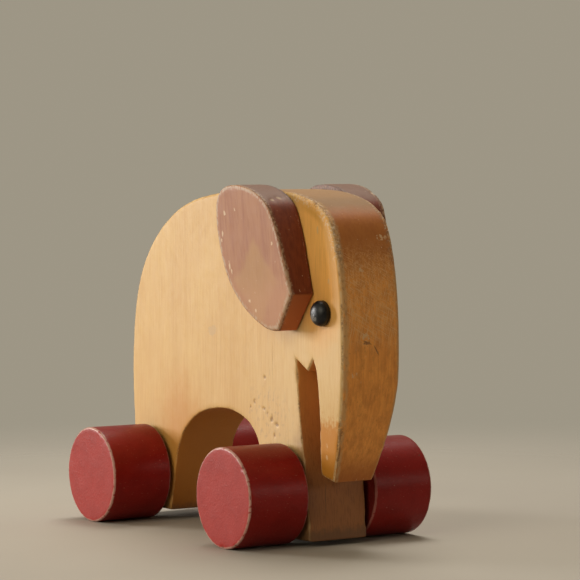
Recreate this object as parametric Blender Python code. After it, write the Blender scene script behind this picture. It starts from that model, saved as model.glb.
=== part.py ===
"""A wooden pull-along elephant that rolls on four wheels.

Units are metres and +Z is up. The elephant faces +X, and its left side faces +Y. The
origin lies on the ground, halfway along the toy and on its middle plane.
"""

from math import acos, cos, pi, radians, sin

import bmesh
import bpy
from mathutils import Vector

# Fits
CLEARANCE = 0.0003              # left between glued or resting pieces
RUNNING_CLEARANCE = 0.0005      # left all round a turning axle

# Wheels and axles
WHEEL_DIAMETER = 0.045
WHEEL_WIDTH = 0.031
WHEEL_RIM_ROUND = 0.0008
WHEELBASE = 0.118
FRONT_AXLE_X = 0.0478
AXLE_DIAMETER = 0.010
AXLE_CHAMFER = 0.001
WHEEL_BORE_DEPTH = 0.015
WHEEL_TO_BODY = 0.0023
WASHER_DIAMETER = 0.018

# Body board
BODY_THICKNESS = 0.031
WORN_EDGE_ROUND = 0.0016        # along the back, head and trunk
SAWN_EDGE_ROUND = 0.0008        # along the legs, the belly and the mouth
TRUNK_TAPER_TOP = 0.076         # the trunk is at full thickness above this height
TRUNK_TIP_HEIGHT = 0.031
TRUNK_TIP_THICKNESS = 0.0215
TRUNK_TAPER_POWER = 1.5
TRUNK_TAPER_CUTS = 6            # levels at which the taper's curve is followed
TRUNK_REAR_X = 0.068            # below the taper's top, only the trunk lies ahead of this

# Ears
EAR_BOTTOM = 0.0956
EAR_THICKNESS_AT_BOTTOM = 0.0105
EAR_THICKENING = 0.09           # gain in thickness per unit of height
EAR_EDGE_ROUND = 0.0014         # round the outer face
EAR_INNER_EDGE = 0.3            # roundness of the inner face's edge, as part of the outer's
EAR_DOWEL_DIAMETER = 0.006
EAR_DOWEL_DEPTH = 0.008         # into the body, and the same into the ear
EAR_DOWELS = {"upper": (0.034, 0.142), "lower": (0.047, 0.114)}

# Eyes
EYE_X = 0.0787
EYE_Z = 0.104
EYE_DIAMETER = 0.0113
EYE_WALL_HEIGHT = 0.0024
EYE_DOME_HEIGHT = 0.0030
EYE_DIMPLE_RADIUS = 0.0012
EYE_DIMPLE_DEPTH = 0.0007
EYE_SHANK_DIAMETER = 0.0035
EYE_SHANK_LENGTH = 0.010

# Mesh fineness
CURVE_SPACING = 0.0022
ROUND_STEPS = 3
ROUND_BLEND_STEPS = 6
EYE_DOME_STEPS = 8
WHEEL_SIDES = 72
DOWEL_SIDES = 32

AXLE_Z = WHEEL_DIAMETER / 2
REAR_AXLE_X = FRONT_AXLE_X - WHEELBASE
HALF_BODY = BODY_THICKNESS / 2
WHEEL_INNER_Y = HALF_BODY + WHEEL_TO_BODY
AXLES = {"front": FRONT_AXLE_X, "rear": REAR_AXLE_X}
SIDES = {"right": -1, "left": 1}

# The body's outline as (x, z) knots. A smooth curve runs through each stretch, and the
# stretches meet at corners.
REAR_SOLE = [(-0.0860, 0.0050), (-0.0522, 0.0050)]
BELLY = [
    (-0.0522, 0.0050), (-0.0490, 0.0200), (-0.0458, 0.0330), (-0.0415, 0.0415),
    (-0.0350, 0.0480), (-0.0260, 0.0530), (-0.0150, 0.0558), (-0.0040, 0.0568),
    (0.0070, 0.0555), (0.0160, 0.0523), (0.0222, 0.0475), (0.0253, 0.0420),
    (0.0260, 0.0340), (0.0260, 0.0180), (0.0260, 0.0025),
]
FRONT_SOLE = [(0.0260, 0.0025), (0.0668, 0.0025)]
FRONT_LEG_FRONT = [
    (0.0668, 0.0025), (0.0645, 0.0266), (0.0613, 0.0447), (0.0586, 0.0630),
    (0.0565, 0.0822),
]
LOWER_LIP_REAR = [(0.0565, 0.0822), (0.0655, 0.0777)]
LOWER_LIP_FRONT = [(0.0655, 0.0777), (0.0695, 0.0830)]
TRUNK_REAR = [
    (0.0695, 0.0830), (0.0715, 0.0795), (0.0729, 0.0733), (0.0732, 0.0638),
    (0.0724, 0.0532), (0.0705, 0.0405), (0.0690, 0.0320),
]
TRUNK_TIP = [(0.0690, 0.0320), (0.0783, 0.0294)]
TRUNK_FRONT_AND_BACK = [
    (0.0783, 0.0294), (0.0832, 0.0405), (0.0873, 0.0520), (0.0905, 0.0640),
    (0.0922, 0.0750), (0.0927, 0.0870), (0.0925, 0.0990), (0.0917, 0.1110),
    (0.0898, 0.1240), (0.0870, 0.1350), (0.0822, 0.1448), (0.0738, 0.1509),
    (0.0630, 0.1546), (0.0480, 0.1570), (0.0280, 0.1578), (0.0060, 0.1572),
    (-0.0130, 0.1557), (-0.0300, 0.1530), (-0.0445, 0.1484), (-0.0578, 0.1411),
    (-0.0690, 0.1317), (-0.0775, 0.1208), (-0.0832, 0.1078), (-0.0864, 0.0927),
    (-0.0878, 0.0770), (-0.0879, 0.0610), (-0.0870, 0.0480), (-0.0862, 0.0280),
    (-0.0860, 0.0050),
]
BODY_STRETCHES = [
    (REAR_SOLE, SAWN_EDGE_ROUND),
    (BELLY, SAWN_EDGE_ROUND),
    (FRONT_SOLE, SAWN_EDGE_ROUND),
    (FRONT_LEG_FRONT, SAWN_EDGE_ROUND),
    (LOWER_LIP_REAR, SAWN_EDGE_ROUND),
    (LOWER_LIP_FRONT, SAWN_EDGE_ROUND),
    (TRUNK_REAR, SAWN_EDGE_ROUND),
    (TRUNK_TIP, SAWN_EDGE_ROUND),
    (TRUNK_FRONT_AND_BACK, WORN_EDGE_ROUND),
]

# The ear's outline, in the same way.
EAR_FRONT_EDGE = [(0.0714, 0.1125), (0.0602, 0.1465)]
EAR_TOP_AND_REAR = [
    (0.0602, 0.1465), (0.0571, 0.1514), (0.0508, 0.1556), (0.0428, 0.1586),
    (0.0330, 0.1600), (0.0236, 0.1590), (0.0174, 0.1550), (0.0144, 0.1480),
    (0.0140, 0.1380), (0.0162, 0.1262), (0.0218, 0.1143), (0.0320, 0.1042),
    (0.0440, 0.0976), (0.0518, 0.0956), (0.0584, 0.0957),
]
EAR_LOWER_CUT = [(0.0584, 0.0957), (0.0714, 0.1125)]
EAR_STRETCHES = [
    (EAR_FRONT_EDGE, EAR_EDGE_ROUND),
    (EAR_TOP_AND_REAR, EAR_EDGE_ROUND),
    (EAR_LOWER_CUT, EAR_EDGE_ROUND),
]

# Colour (linear), roughness and metallic value of each finish
FINISHES = {
    "varnished_beech": ((0.72, 0.46, 0.21), 0.42, 0.0),
    "stained_ear_wood": ((0.30, 0.10, 0.07), 0.55, 0.0),
    "red_painted_wood": ((0.36, 0.035, 0.030), 0.45, 0.0),
    "bare_dowel": ((0.66, 0.48, 0.28), 0.70, 0.0),
    "black_lacquer": ((0.012, 0.013, 0.014), 0.30, 0.0),
    "fibre": ((0.16, 0.10, 0.07), 0.85, 0.0),
}


def clear_scene():
    """Remove every object that the file holds."""
    for item in list(bpy.data.objects):
        bpy.data.objects.remove(item, do_unlink=True)


def make_finish(name):
    """Return the named material, made from its row in FINISHES."""
    colour, roughness, metallic = FINISHES[name]
    material = bpy.data.materials.new(name)
    material.use_nodes = True
    shader = material.node_tree.nodes["Principled BSDF"]
    shader.inputs["Base Color"].default_value = (*colour, 1.0)
    shader.inputs["Roughness"].default_value = roughness
    shader.inputs["Metallic"].default_value = metallic
    material.diffuse_color = (*colour, 1.0)
    return material


def add_object(name, bm, material, origin=(0.0, 0.0, 0.0)):
    """Turn a closed bmesh into a named object with its origin at the given point."""
    bmesh.ops.recalc_face_normals(bm, faces=bm.faces)
    mesh = bpy.data.meshes.new(name)
    bm.to_mesh(mesh)
    bm.free()
    mesh.materials.append(material)
    mesh.shade_smooth()
    mesh.set_sharp_from_angle(angle=radians(35))
    item = bpy.data.objects.new(name, mesh)
    item.location = origin
    bpy.context.scene.collection.objects.link(item)
    return item


def curve_through(knots):
    """Sample a smooth curve through the knots, without its last point.

    It is a Catmull-Rom curve whose ends are extended straight. Two knots give one line.
    """
    if len(knots) == 2:
        return [Vector(knots[0])]
    points = [Vector(knot) for knot in knots]
    points = [2 * points[0] - points[1], *points, 2 * points[-1] - points[-2]]
    samples = []
    for a, b, c, d in zip(points, points[1:], points[2:], points[3:]):
        steps = max(1, round((c - b).length / CURVE_SPACING))
        for step in range(steps):
            t = step / steps
            samples.append(0.5 * (
                2 * b + (c - a) * t + (2 * a - 5 * b + 4 * c - d) * t ** 2
                + (3 * b - a - 3 * c + d) * t ** 3
            ))
    return samples


def closed_outline(stretches):
    """Join the stretches into one closed outline that turns from +X toward +Z.

    Each point comes with the radius of the rounding along its edge, which changes
    gradually from one stretch to the next.
    """
    outline = []
    radii = []
    for knots, radius in stretches:
        points = curve_through(knots)
        outline += points
        radii += [radius] * len(points)
    for _ in range(ROUND_BLEND_STEPS):
        radii = [(a + b) / 2 for a, b in zip(radii[-1:] + radii[:-1], radii[1:] + radii[:1])]
    following = outline[1:] + outline[:1]
    area = sum(a.x * b.y - b.x * a.y for a, b in zip(outline, following))
    return (outline, radii) if area > 0 else (outline[::-1], radii[::-1])


def inward_mitres(outline):
    """Return the way in from each point that moves both of its sides in by one unit."""
    mitres = []
    for index, point in enumerate(outline):
        before = (point - outline[index - 1]).normalized()
        after = (outline[(index + 1) % len(outline)] - point).normalized()
        normal_before = Vector((-before.y, before.x))
        normal_after = Vector((-after.y, after.x))
        mitres.append((normal_before + normal_after) / (1 + normal_before.dot(normal_after)))
    return mitres


def add_loop(bm, points, y):
    """Add the closed loop of (x, z) points at y and return its vertices."""
    return [bm.verts.new((point[0], y, point[1])) for point in points]


def bridge(bm, loop_a, loop_b):
    """Join two loops of the same length with a band of faces."""
    count = len(loop_a)
    for index in range(count):
        after = (index + 1) % count
        bm.faces.new((loop_a[index], loop_a[after], loop_b[after], loop_b[index]))


def loop_edges(bm, loop):
    """Return a loop's edges, made where they are missing."""
    edges = []
    for start, end in zip(loop, loop[1:] + loop[:1]):
        edges.append(bm.edges.get((start, end)) or bm.edges.new((start, end)))
    return edges


def circle(centre, radius, sides=DOWEL_SIDES):
    """Return the points of a circle in the XZ plane."""
    angles = [2 * pi * step / sides for step in range(sides)]
    return [(centre[0] + radius * cos(a), centre[1] + radius * sin(a)) for a in angles]


def bore_radius(diameter, clearance, sides=DOWEL_SIDES):
    """Return the corner radius of a faceted bore that clears a round pin."""
    return (diameter / 2 + clearance) / cos(pi / sides)


def blind_hole(bm, centre, radius, y_mouth, y_bottom):
    """Add a blind hole's wall and bottom, and return the loop at its mouth."""
    mouth = add_loop(bm, circle(centre, radius), y_mouth)
    bottom = add_loop(bm, circle(centre, radius), y_bottom)
    bridge(bm, mouth, bottom)
    bm.faces.new(bottom)
    return mouth


def through_bore(bm, centre, radius, y_a, y_b):
    """Add a bore's wall and return the loops at its two mouths."""
    mouth_a = add_loop(bm, circle(centre, radius), y_a)
    mouth_b = add_loop(bm, circle(centre, radius), y_b)
    bridge(bm, mouth_a, mouth_b)
    return mouth_a, mouth_b


def plate_wall(bm, stretches, faces):
    """Build a plate's wall, rounded at both faces, and return the borders of its faces.

    Each face is given as its y, its outward direction and its roundness, where 1 keeps
    the radii of the outline.
    """
    outline, radii = closed_outline(stretches)
    mitres = inward_mitres(outline)
    loops = []
    for y_face, outward, roundness in faces:
        angles = [step / ROUND_STEPS * pi / 2 for step in range(ROUND_STEPS + 1)]
        if loops:
            angles.reverse()    # the second face is reached from the wall
        for angle in angles:
            loop = []
            for point, mitre, radius in zip(outline, mitres, radii):
                x, z = point + mitre * radius * roundness * (1 - sin(angle))
                y = y_face - outward * radius * roundness * (1 - cos(angle))
                loop.append(bm.verts.new((x, y, z)))
            loops.append(loop)
    for loop_a, loop_b in zip(loops, loops[1:]):
        bridge(bm, loop_a, loop_b)
    return loops[0], loops[-1]


def close_face(bm, border, holes, outward):
    """Fill the flat face inside the border, around the mouths of its holes."""
    edges = loop_edges(bm, border)
    for hole in holes:
        edges += loop_edges(bm, hole)
    bmesh.ops.triangle_fill(bm, edges=edges, use_beauty=True, normal=(0, outward, 0))


def turned(profile, sides):
    """Turn a closed (radius, y) profile about the Y axis. A radius of 0 makes a point."""
    bm = bmesh.new()
    rings = []
    for radius, y in profile:
        if radius == 0:
            rings.append([bm.verts.new((0, y, 0))])
        else:
            rings.append(add_loop(bm, circle((0, 0), radius, sides), y))
    for ring_a, ring_b in zip(rings, rings[1:] + rings[:1]):
        if len(ring_a) > 1 and len(ring_b) > 1:
            bridge(bm, ring_a, ring_b)
        elif len(ring_a) > 1 or len(ring_b) > 1:
            apex, ring = (ring_a[0], ring_b) if len(ring_a) == 1 else (ring_b[0], ring_a)
            for start, end in zip(ring, ring[1:] + ring[:1]):
                bm.faces.new((start, end, apex))
    return bm


def quarter_round(radius, y, size, outward):
    """Return profile points that round a turned piece's rim, from its face outward."""
    points = []
    for step in range(ROUND_STEPS + 1):
        angle = step / ROUND_STEPS * pi / 2
        points.append((radius - size * (1 - sin(angle)), y - outward * size * (1 - cos(angle))))
    return points


def trunk_half_thickness(z):
    """Return half of the trunk's thickness at a height."""
    drop = max(0.0, TRUNK_TAPER_TOP - z) / (TRUNK_TAPER_TOP - TRUNK_TIP_HEIGHT)
    loss = (BODY_THICKNESS - TRUNK_TIP_THICKNESS) * drop ** TRUNK_TAPER_POWER
    return (BODY_THICKNESS - loss) / 2


def taper_trunk(bm):
    """Thin the trunk toward its tip, following the taper's curve in level cuts."""
    span = TRUNK_TAPER_TOP - TRUNK_TIP_HEIGHT
    for cut in range(TRUNK_TAPER_CUTS):
        height = TRUNK_TAPER_TOP - span * cut / TRUNK_TAPER_CUTS
        geometry = bm.verts[:] + bm.edges[:] + bm.faces[:]
        bmesh.ops.bisect_plane(bm, geom=geometry, plane_co=(0, 0, height), plane_no=(0, 0, 1))
    for vert in bm.verts:
        if vert.co.x > TRUNK_REAR_X and vert.co.z < TRUNK_TAPER_TOP:
            vert.co.y *= trunk_half_thickness(vert.co.z) / HALF_BODY


def make_body(material):
    """Saw the body from one board, with its axle bores and the blind holes in its sides."""
    bm = bmesh.new()
    borders = plate_wall(bm, BODY_STRETCHES, [(-HALF_BODY, -1, 1), (HALF_BODY, 1, 1)])
    mouths = {-1: [], 1: []}
    axle_bore = bore_radius(AXLE_DIAMETER, RUNNING_CLEARANCE)
    for axle_x in AXLES.values():
        right, left = through_bore(bm, (axle_x, AXLE_Z), axle_bore, -HALF_BODY, HALF_BODY)
        mouths[-1].append(right)
        mouths[1].append(left)
    dowel_hole = bore_radius(EAR_DOWEL_DIAMETER, CLEARANCE)
    shank_hole = bore_radius(EYE_SHANK_DIAMETER, CLEARANCE)
    for side in SIDES.values():
        y_mouth = side * HALF_BODY
        y_dowel = side * (HALF_BODY - EAR_DOWEL_DEPTH - CLEARANCE)
        y_shank = side * (HALF_BODY - EYE_SHANK_LENGTH - CLEARANCE)
        for centre in EAR_DOWELS.values():
            mouths[side].append(blind_hole(bm, centre, dowel_hole, y_mouth, y_dowel))
        mouths[side].append(blind_hole(bm, (EYE_X, EYE_Z), shank_hole, y_mouth, y_shank))
    for border, side in zip(borders, (-1, 1)):
        close_face(bm, border, mouths[side], side)
    taper_trunk(bm)
    add_object("body", bm, material)


def make_ear(name, side, material):
    """Make an ear that thickens toward its top, with blind dowel holes in its inner face."""
    bm = bmesh.new()
    y_inner = side * (HALF_BODY + CLEARANCE)
    y_outer = y_inner + side * EAR_THICKNESS_AT_BOTTOM
    faces = [(y_inner, -side, EAR_INNER_EDGE), (y_outer, side, 1)]
    inner, outer = plate_wall(bm, EAR_STRETCHES, faces)
    radius = bore_radius(EAR_DOWEL_DIAMETER, CLEARANCE)
    y_bottom = y_inner + side * (EAR_DOWEL_DEPTH - CLEARANCE)
    holes = [blind_hole(bm, centre, radius, y_inner, y_bottom) for centre in EAR_DOWELS.values()]
    outer_side = [vert for vert in bm.verts if abs(vert.co.y) > abs(y_bottom) + CLEARANCE]
    close_face(bm, inner, holes, -side)
    close_face(bm, outer, [], side)
    for vert in outer_side:
        vert.co.y += side * EAR_THICKENING * (vert.co.z - EAR_BOTTOM)
    add_object(name, bm, material)


def make_pin(name, diameter, chamfer, y_start, y_end, place, material):
    """Make a round pin along Y, chamfered at both ends, centred on an (x, z) place."""
    radius = diameter / 2
    profile = [
        (0, y_start), (radius - chamfer, y_start), (radius, y_start + chamfer),
        (radius, y_end - chamfer), (radius - chamfer, y_end), (0, y_end),
    ]
    add_object(name, turned(profile, DOWEL_SIDES), material, (place[0], 0, place[1]))


def make_ear_dowels(side_name, side, material):
    """Make the dowels that hold one ear, half in the body and half in the ear."""
    reach = EAR_DOWEL_DEPTH - CLEARANCE
    middle = side * (HALF_BODY + CLEARANCE / 2)
    start, end = middle - reach, middle + reach
    for dowel, place in EAR_DOWELS.items():
        name = f"{side_name}_ear_dowel_{dowel}"
        make_pin(name, EAR_DOWEL_DIAMETER, CLEARANCE, start, end, place, material)


def make_eye(name, side, material):
    """Make an eye: a domed, dimpled button on a shank that is driven into the head."""
    radius = EYE_DIAMETER / 2
    shank = EYE_SHANK_DIAMETER / 2
    shank_end = HALF_BODY - EYE_SHANK_LENGTH
    seat = HALF_BODY + CLEARANCE
    wall_top = seat + EYE_WALL_HEIGHT
    profile = [(0, shank_end), (shank, shank_end), (shank, seat), (radius, seat)]
    dimple_angle = acos(EYE_DIMPLE_RADIUS / radius)
    for step in range(EYE_DOME_STEPS + 1):
        angle = dimple_angle * step / EYE_DOME_STEPS
        profile.append((radius * cos(angle), wall_top + EYE_DOME_HEIGHT * sin(angle)))
    profile.append((0, wall_top + EYE_DOME_HEIGHT - EYE_DIMPLE_DEPTH))
    profile = [(r, side * y) for r, y in profile]
    add_object(name, turned(profile, DOWEL_SIDES), material, (EYE_X, 0, EYE_Z))


def make_wheel(name, axle_x, side, material):
    """Make a wheel with rounded rims, bored from its inner face for the axle."""
    radius = WHEEL_DIAMETER / 2
    bore = bore_radius(AXLE_DIAMETER, CLEARANCE, WHEEL_SIDES)
    y_inner = side * WHEEL_INNER_Y
    y_outer = y_inner + side * WHEEL_WIDTH
    y_bottom = y_inner + side * WHEEL_BORE_DEPTH
    profile = [(0, y_bottom), (bore, y_bottom), (bore, y_inner)]
    profile += quarter_round(radius, y_inner, WHEEL_RIM_ROUND, -side)
    profile += quarter_round(radius, y_outer, WHEEL_RIM_ROUND, side)[::-1]
    profile += [(0, y_outer)]
    add_object(name, turned(profile, WHEEL_SIDES), material, (axle_x, 0, AXLE_Z))


def make_washer(name, axle_x, side, material):
    """Make the washer that keeps a wheel off the body's side."""
    y_inner = side * (HALF_BODY + CLEARANCE)
    y_outer = side * (WHEEL_INNER_Y - CLEARANCE)
    hole = bore_radius(AXLE_DIAMETER, CLEARANCE)
    radius = WASHER_DIAMETER / 2
    profile = [(hole, y_inner), (radius, y_inner), (radius, y_outer), (hole, y_outer)]
    add_object(name, turned(profile, DOWEL_SIDES), material, (axle_x, 0, AXLE_Z))


def make_axle(name, axle_x, material):
    """Make an axle that turns in the body and carries a wheel on each end."""
    reach = WHEEL_INNER_Y + WHEEL_BORE_DEPTH - CLEARANCE
    make_pin(name, AXLE_DIAMETER, AXLE_CHAMFER, -reach, reach, (axle_x, AXLE_Z), material)


def build_toy():
    """Build the whole toy, one object for each piece."""
    clear_scene()
    finishes = {name: make_finish(name) for name in FINISHES}
    make_body(finishes["varnished_beech"])
    for side_name, side in SIDES.items():
        make_ear(f"{side_name}_ear", side, finishes["stained_ear_wood"])
        make_ear_dowels(side_name, side, finishes["bare_dowel"])
        make_eye(f"{side_name}_eye", side, finishes["black_lacquer"])
    for end, axle_x in AXLES.items():
        make_axle(f"{end}_axle", axle_x, finishes["bare_dowel"])
        for side_name, side in SIDES.items():
            make_wheel(f"{end}_{side_name}_wheel", axle_x, side, finishes["red_painted_wood"])
            make_washer(f"{end}_{side_name}_washer", axle_x, side, finishes["fibre"])


build_toy()
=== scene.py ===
"""The looks of a wooden pull-along elephant: worn, varnished wood on painted wheels.

Units are metres and +Z is up. The elephant faces +X, and its right side faces -Y. Fine
meshes are built on the outlines of the CAD boards and stand for them. Dowels, axles and
washers stay as they are and get their finishes here.
"""

from functools import cached_property
from math import cos, pi, radians, sin, tan

import bmesh
import bpy
import numpy as np
from mathutils import Matrix, Vector, geometry, kdtree, noise


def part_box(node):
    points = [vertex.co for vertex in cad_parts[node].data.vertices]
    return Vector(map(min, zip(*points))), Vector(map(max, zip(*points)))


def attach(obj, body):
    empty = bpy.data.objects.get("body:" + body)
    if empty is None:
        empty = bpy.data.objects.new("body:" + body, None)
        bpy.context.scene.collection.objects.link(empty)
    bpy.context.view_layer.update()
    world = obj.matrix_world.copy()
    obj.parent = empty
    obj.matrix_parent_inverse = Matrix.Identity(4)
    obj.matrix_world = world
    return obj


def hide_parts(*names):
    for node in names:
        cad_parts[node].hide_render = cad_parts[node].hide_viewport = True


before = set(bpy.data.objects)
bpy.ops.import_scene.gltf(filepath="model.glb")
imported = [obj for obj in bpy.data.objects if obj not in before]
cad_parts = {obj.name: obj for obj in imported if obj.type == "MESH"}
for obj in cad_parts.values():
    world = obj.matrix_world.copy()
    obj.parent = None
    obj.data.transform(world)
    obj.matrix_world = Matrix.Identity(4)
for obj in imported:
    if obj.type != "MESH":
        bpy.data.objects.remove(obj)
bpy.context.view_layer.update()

# Mesh fineness
OUTLINE_STEP = 0.0010           # between points along a board's outline
FACE_STEP = 0.0012              # between points across a board's face
WALL_RINGS = 22                 # across a board's thickness
ARRIS_STEPS = 7                 # round each arris
CORNER_STEPS = 5                # round each corner of an outline
LATHE_SIDES = 180
EYE_STEPS = 30
HOLE_SIDES = 64
MARK_REACH = 0.0024             # how far round a dent the points lie closer together
MARK_STEP = 0.0004
CORNER_TURN = radians(30)       # a sharper turn than this is a corner
CORNER_REACH = 0.0032           # how far from a corner the rings bend to meet there
FILL_JITTER = 0.001             # in mm, keeps straight borders from giving empty triangles
SEED = 7
WELD = 1e-6
HOLE_REACH = 0.002              # a pin and its hole have centres closer than this
LARGEST_ARRIS = 0.0017
INNER_EAR_ARRIS = 0.0006
DEEP = 0.004                    # stands for a place that is far from any arris

# The boards' shapes that the CAD meshes carry
TRUNK_REAR_X = 0.068            # below the taper's top, only the trunk lies ahead of this
TRUNK_TAPER_TOP = 0.076
TRUNK_TIP_HEIGHT = 0.031
TRUNK_TIP_THICKNESS = 0.0215
TRUNK_TAPER_POWER = 1.5
EAR_DOWEL_DEPTH = 0.0083        # in the body
EYE_SHANK_DEPTH = 0.0103
EAR_HOLE_DEPTH = 0.0077
WHEEL_BORE_DEPTH = 0.015
WHEEL_RIM_ROUND = 0.0009

# An eye's shape
EYE_WALL = 0.0015
EYE_DOME = 0.0039
EYE_SHANK = 0.00175
EYE_ROUND = 0.0003
DIMPLE_RADIUS = 0.0014
DIMPLE_DEPTH = 0.00012

HALF_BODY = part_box("body")[1].y
SIDES = {"right": -1, "left": 1}


# Outlines read from the CAD meshes

def welded(node):
    """Return a bmesh of a CAD node with its split vertices joined."""
    bm = bmesh.new()
    bm.from_mesh(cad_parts[node].data)
    bmesh.ops.remove_doubles(bm, verts=bm.verts[:], dist=WELD)
    return bm


def place_of(point):
    """Return an (x, z) key that equal places share."""
    return round(point.x, 6), round(point.z, 6)


def section(node, y):
    """Return the outlines that the plane at y cuts from a CAD board, the largest first.

    Each is a list of (x, z) places where an upright edge of the board's wall is cut.
    """
    bm = welded(node)
    uprights = set()
    for edge in bm.edges:
        a, b = (vert.co for vert in edge.verts)
        if place_of(a) == place_of(b):
            uprights.add(place_of(a))
    parts = bm.verts[:] + bm.edges[:] + bm.faces[:]
    bmesh.ops.bisect_plane(bm, geom=parts, plane_co=(0, y, 0), plane_no=(0, 1, 0),
                           clear_inner=True, clear_outer=True)
    loops = []
    used = set()
    for vert in bm.verts:
        loop = []
        while vert and vert not in used:
            used.add(vert)
            loop.append(place_of(vert.co))
            beside = [edge.other_vert(vert) for edge in vert.link_edges]
            vert = next((other for other in beside if other not in used), None)
        if loop:
            loops.append([place for place in loop if place in uprights])
    bm.free()
    return sorted(loops, key=lambda loop: abs(signed_area(np.array(loop))), reverse=True)


def signed_area(points):
    """Return the area inside (x, z) points, positive when they run anticlockwise."""
    x, z = points[:, 0], points[:, 1]
    return float((x * np.roll(z, -1) - np.roll(x, -1) * z).sum() / 2)


def turns(points):
    """Return the angle by which a closed outline turns left at each point."""
    ahead = np.roll(points, -1, 0) - points
    behind = points - np.roll(points, 1, 0)
    cross = behind[:, 0] * ahead[:, 1] - behind[:, 1] * ahead[:, 0]
    return np.arctan2(cross, (behind * ahead).sum(1))


def smooth_stretch(points, extra, step):
    """Return even points on a smooth curve through the given ones, without the last."""
    chord = np.concatenate([[0], np.cumsum(np.linalg.norm(np.diff(points, axis=0), axis=1))])
    slope = np.gradient(points, chord, axis=0)
    at = np.linspace(0, chord[-1], max(2, round(chord[-1] / step)) + 1)[:-1]
    i = np.clip(np.searchsorted(chord, at, "right") - 1, 0, len(chord) - 2)
    width = (chord[i + 1] - chord[i])[:, None]
    t = (at - chord[i])[:, None] / width
    curve = (points[i] * (1 + 2 * t) * (1 - t) ** 2 + slope[i] * width * t * (1 - t) ** 2
             + points[i + 1] * t * t * (3 - 2 * t) + slope[i + 1] * width * t * t * (t - 1))
    return curve, np.interp(at, chord, extra)


def fine_outline(points, extra):
    """Return a closed outline at an even fine step, its extra values, and its corners."""
    if signed_area(points) < 0:
        points, extra = points[::-1], extra[::-1]
    corners = np.flatnonzero(abs(turns(points)) > CORNER_TURN)
    first = corners[0]
    points = np.roll(points, -first, 0)
    extra = np.roll(extra, -first)
    ends = [*(corners - first), len(points)]
    points = np.vstack([points, points[:1]])
    extra = np.append(extra, extra[0])
    curves, values, starts = [], [], []
    for start, end in zip(ends, ends[1:]):
        starts.append(sum(map(len, curves)))
        curve, value = smooth_stretch(points[start:end + 1], extra[start:end + 1], OUTLINE_STEP)
        curves.append(curve)
        values.append(value)
    return np.vstack(curves), np.concatenate(values), starts


def thinned(points, least):
    """Return the points of a closed outline that lie at least so far from the one before."""
    kept = [points[0]]
    for point in points[1:]:
        if np.linalg.norm(point - kept[-1]) >= least:
            kept.append(point)
    return np.array(kept)


def arris_rounds(node, outline, y, side):
    """Return the radius of a CAD board's arris at each outline point, on one side."""
    bm = welded(node)
    tree = kdtree.KDTree(len(bm.verts))
    for vert in bm.verts:
        on_face = any(abs(face.normal.y) > 0.97 and face.normal.y * side > 0
                      for face in vert.link_faces)
        if on_face and abs(vert.co.y - y) < 0.016:
            tree.insert((vert.co.x, 0, vert.co.z), vert.index)
    tree.balance()
    bm.free()
    return np.array([min(tree.find((x, 0, z))[2], LARGEST_ARRIS) for x, z in outline])


# Plates: boards with a smooth outline and rounded arrises

def inset_directions(outline, corners):
    """Return how each outline point moves inward, so that the rings meet at corners."""
    ahead = np.roll(outline, -1, 0) - outline
    behind = outline - np.roll(outline, 1, 0)
    ahead /= np.linalg.norm(ahead, axis=1)[:, None]
    behind /= np.linalg.norm(behind, axis=1)[:, None]
    tangent = ahead + behind
    tangent /= np.linalg.norm(tangent, axis=1)[:, None]
    direction = np.stack([-tangent[:, 1], tangent[:, 0]], 1)
    bend = turns(outline)
    for corner in corners:
        lean = tan(bend[corner] / 2)
        arriving, leaving = behind[corner], ahead[corner]
        direction[corner] = np.array([-arriving[1], arriving[0]]) - lean * arriving
        for way, along in ((-1, arriving), (1, leaving)):
            walked = 0.0
            i = corner
            while walked < CORNER_REACH:
                walked += np.linalg.norm(outline[(i + way) % len(outline)] - outline[i])
                i = (i + way) % len(outline)
                share = max(0.0, 1 - walked / CORNER_REACH)
                direction[i] = direction[i] + way * lean * share * along
    return direction


def with_round_corners(ring, corners):
    """Return a ring's rows, which start with x, y and z, with a short curve at each corner."""
    points = []
    for i, point in enumerate(ring):
        if i not in corners:
            points.append(point)
            continue
        start = point + (ring[i - 1] - point) * 0.55
        end = point + (ring[(i + 1) % len(ring)] - point) * 0.55
        for step in range(CORNER_STEPS):
            t = step / (CORNER_STEPS - 1)
            points.append(start * (1 - t) ** 2 + point * 2 * t * (1 - t) + end * t * t)
    return np.array(points)


def inside(points, outline):
    """Return which (x, z) points lie inside a closed outline."""
    result = np.zeros(len(points), bool)
    after = np.roll(outline, -1, 0)
    for (x1, z1), (x2, z2) in zip(outline, after):
        if z1 == z2:
            continue
        crosses = (z1 > points[:, 1]) != (z2 > points[:, 1])
        edge_x = x1 + (points[:, 1] - z1) / (z2 - z1) * (x2 - x1)
        result ^= crosses & (points[:, 0] < edge_x)
    return result


def distance_to(points, outline):
    """Return how far each (x, z) point is from the nearest outline point."""
    tree = kdtree.KDTree(len(outline))
    for i, (x, z) in enumerate(outline):
        tree.insert((x, 0, z), i)
    tree.balance()
    return np.array([tree.find((x, 0, z))[2] for x, z in points])


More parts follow.
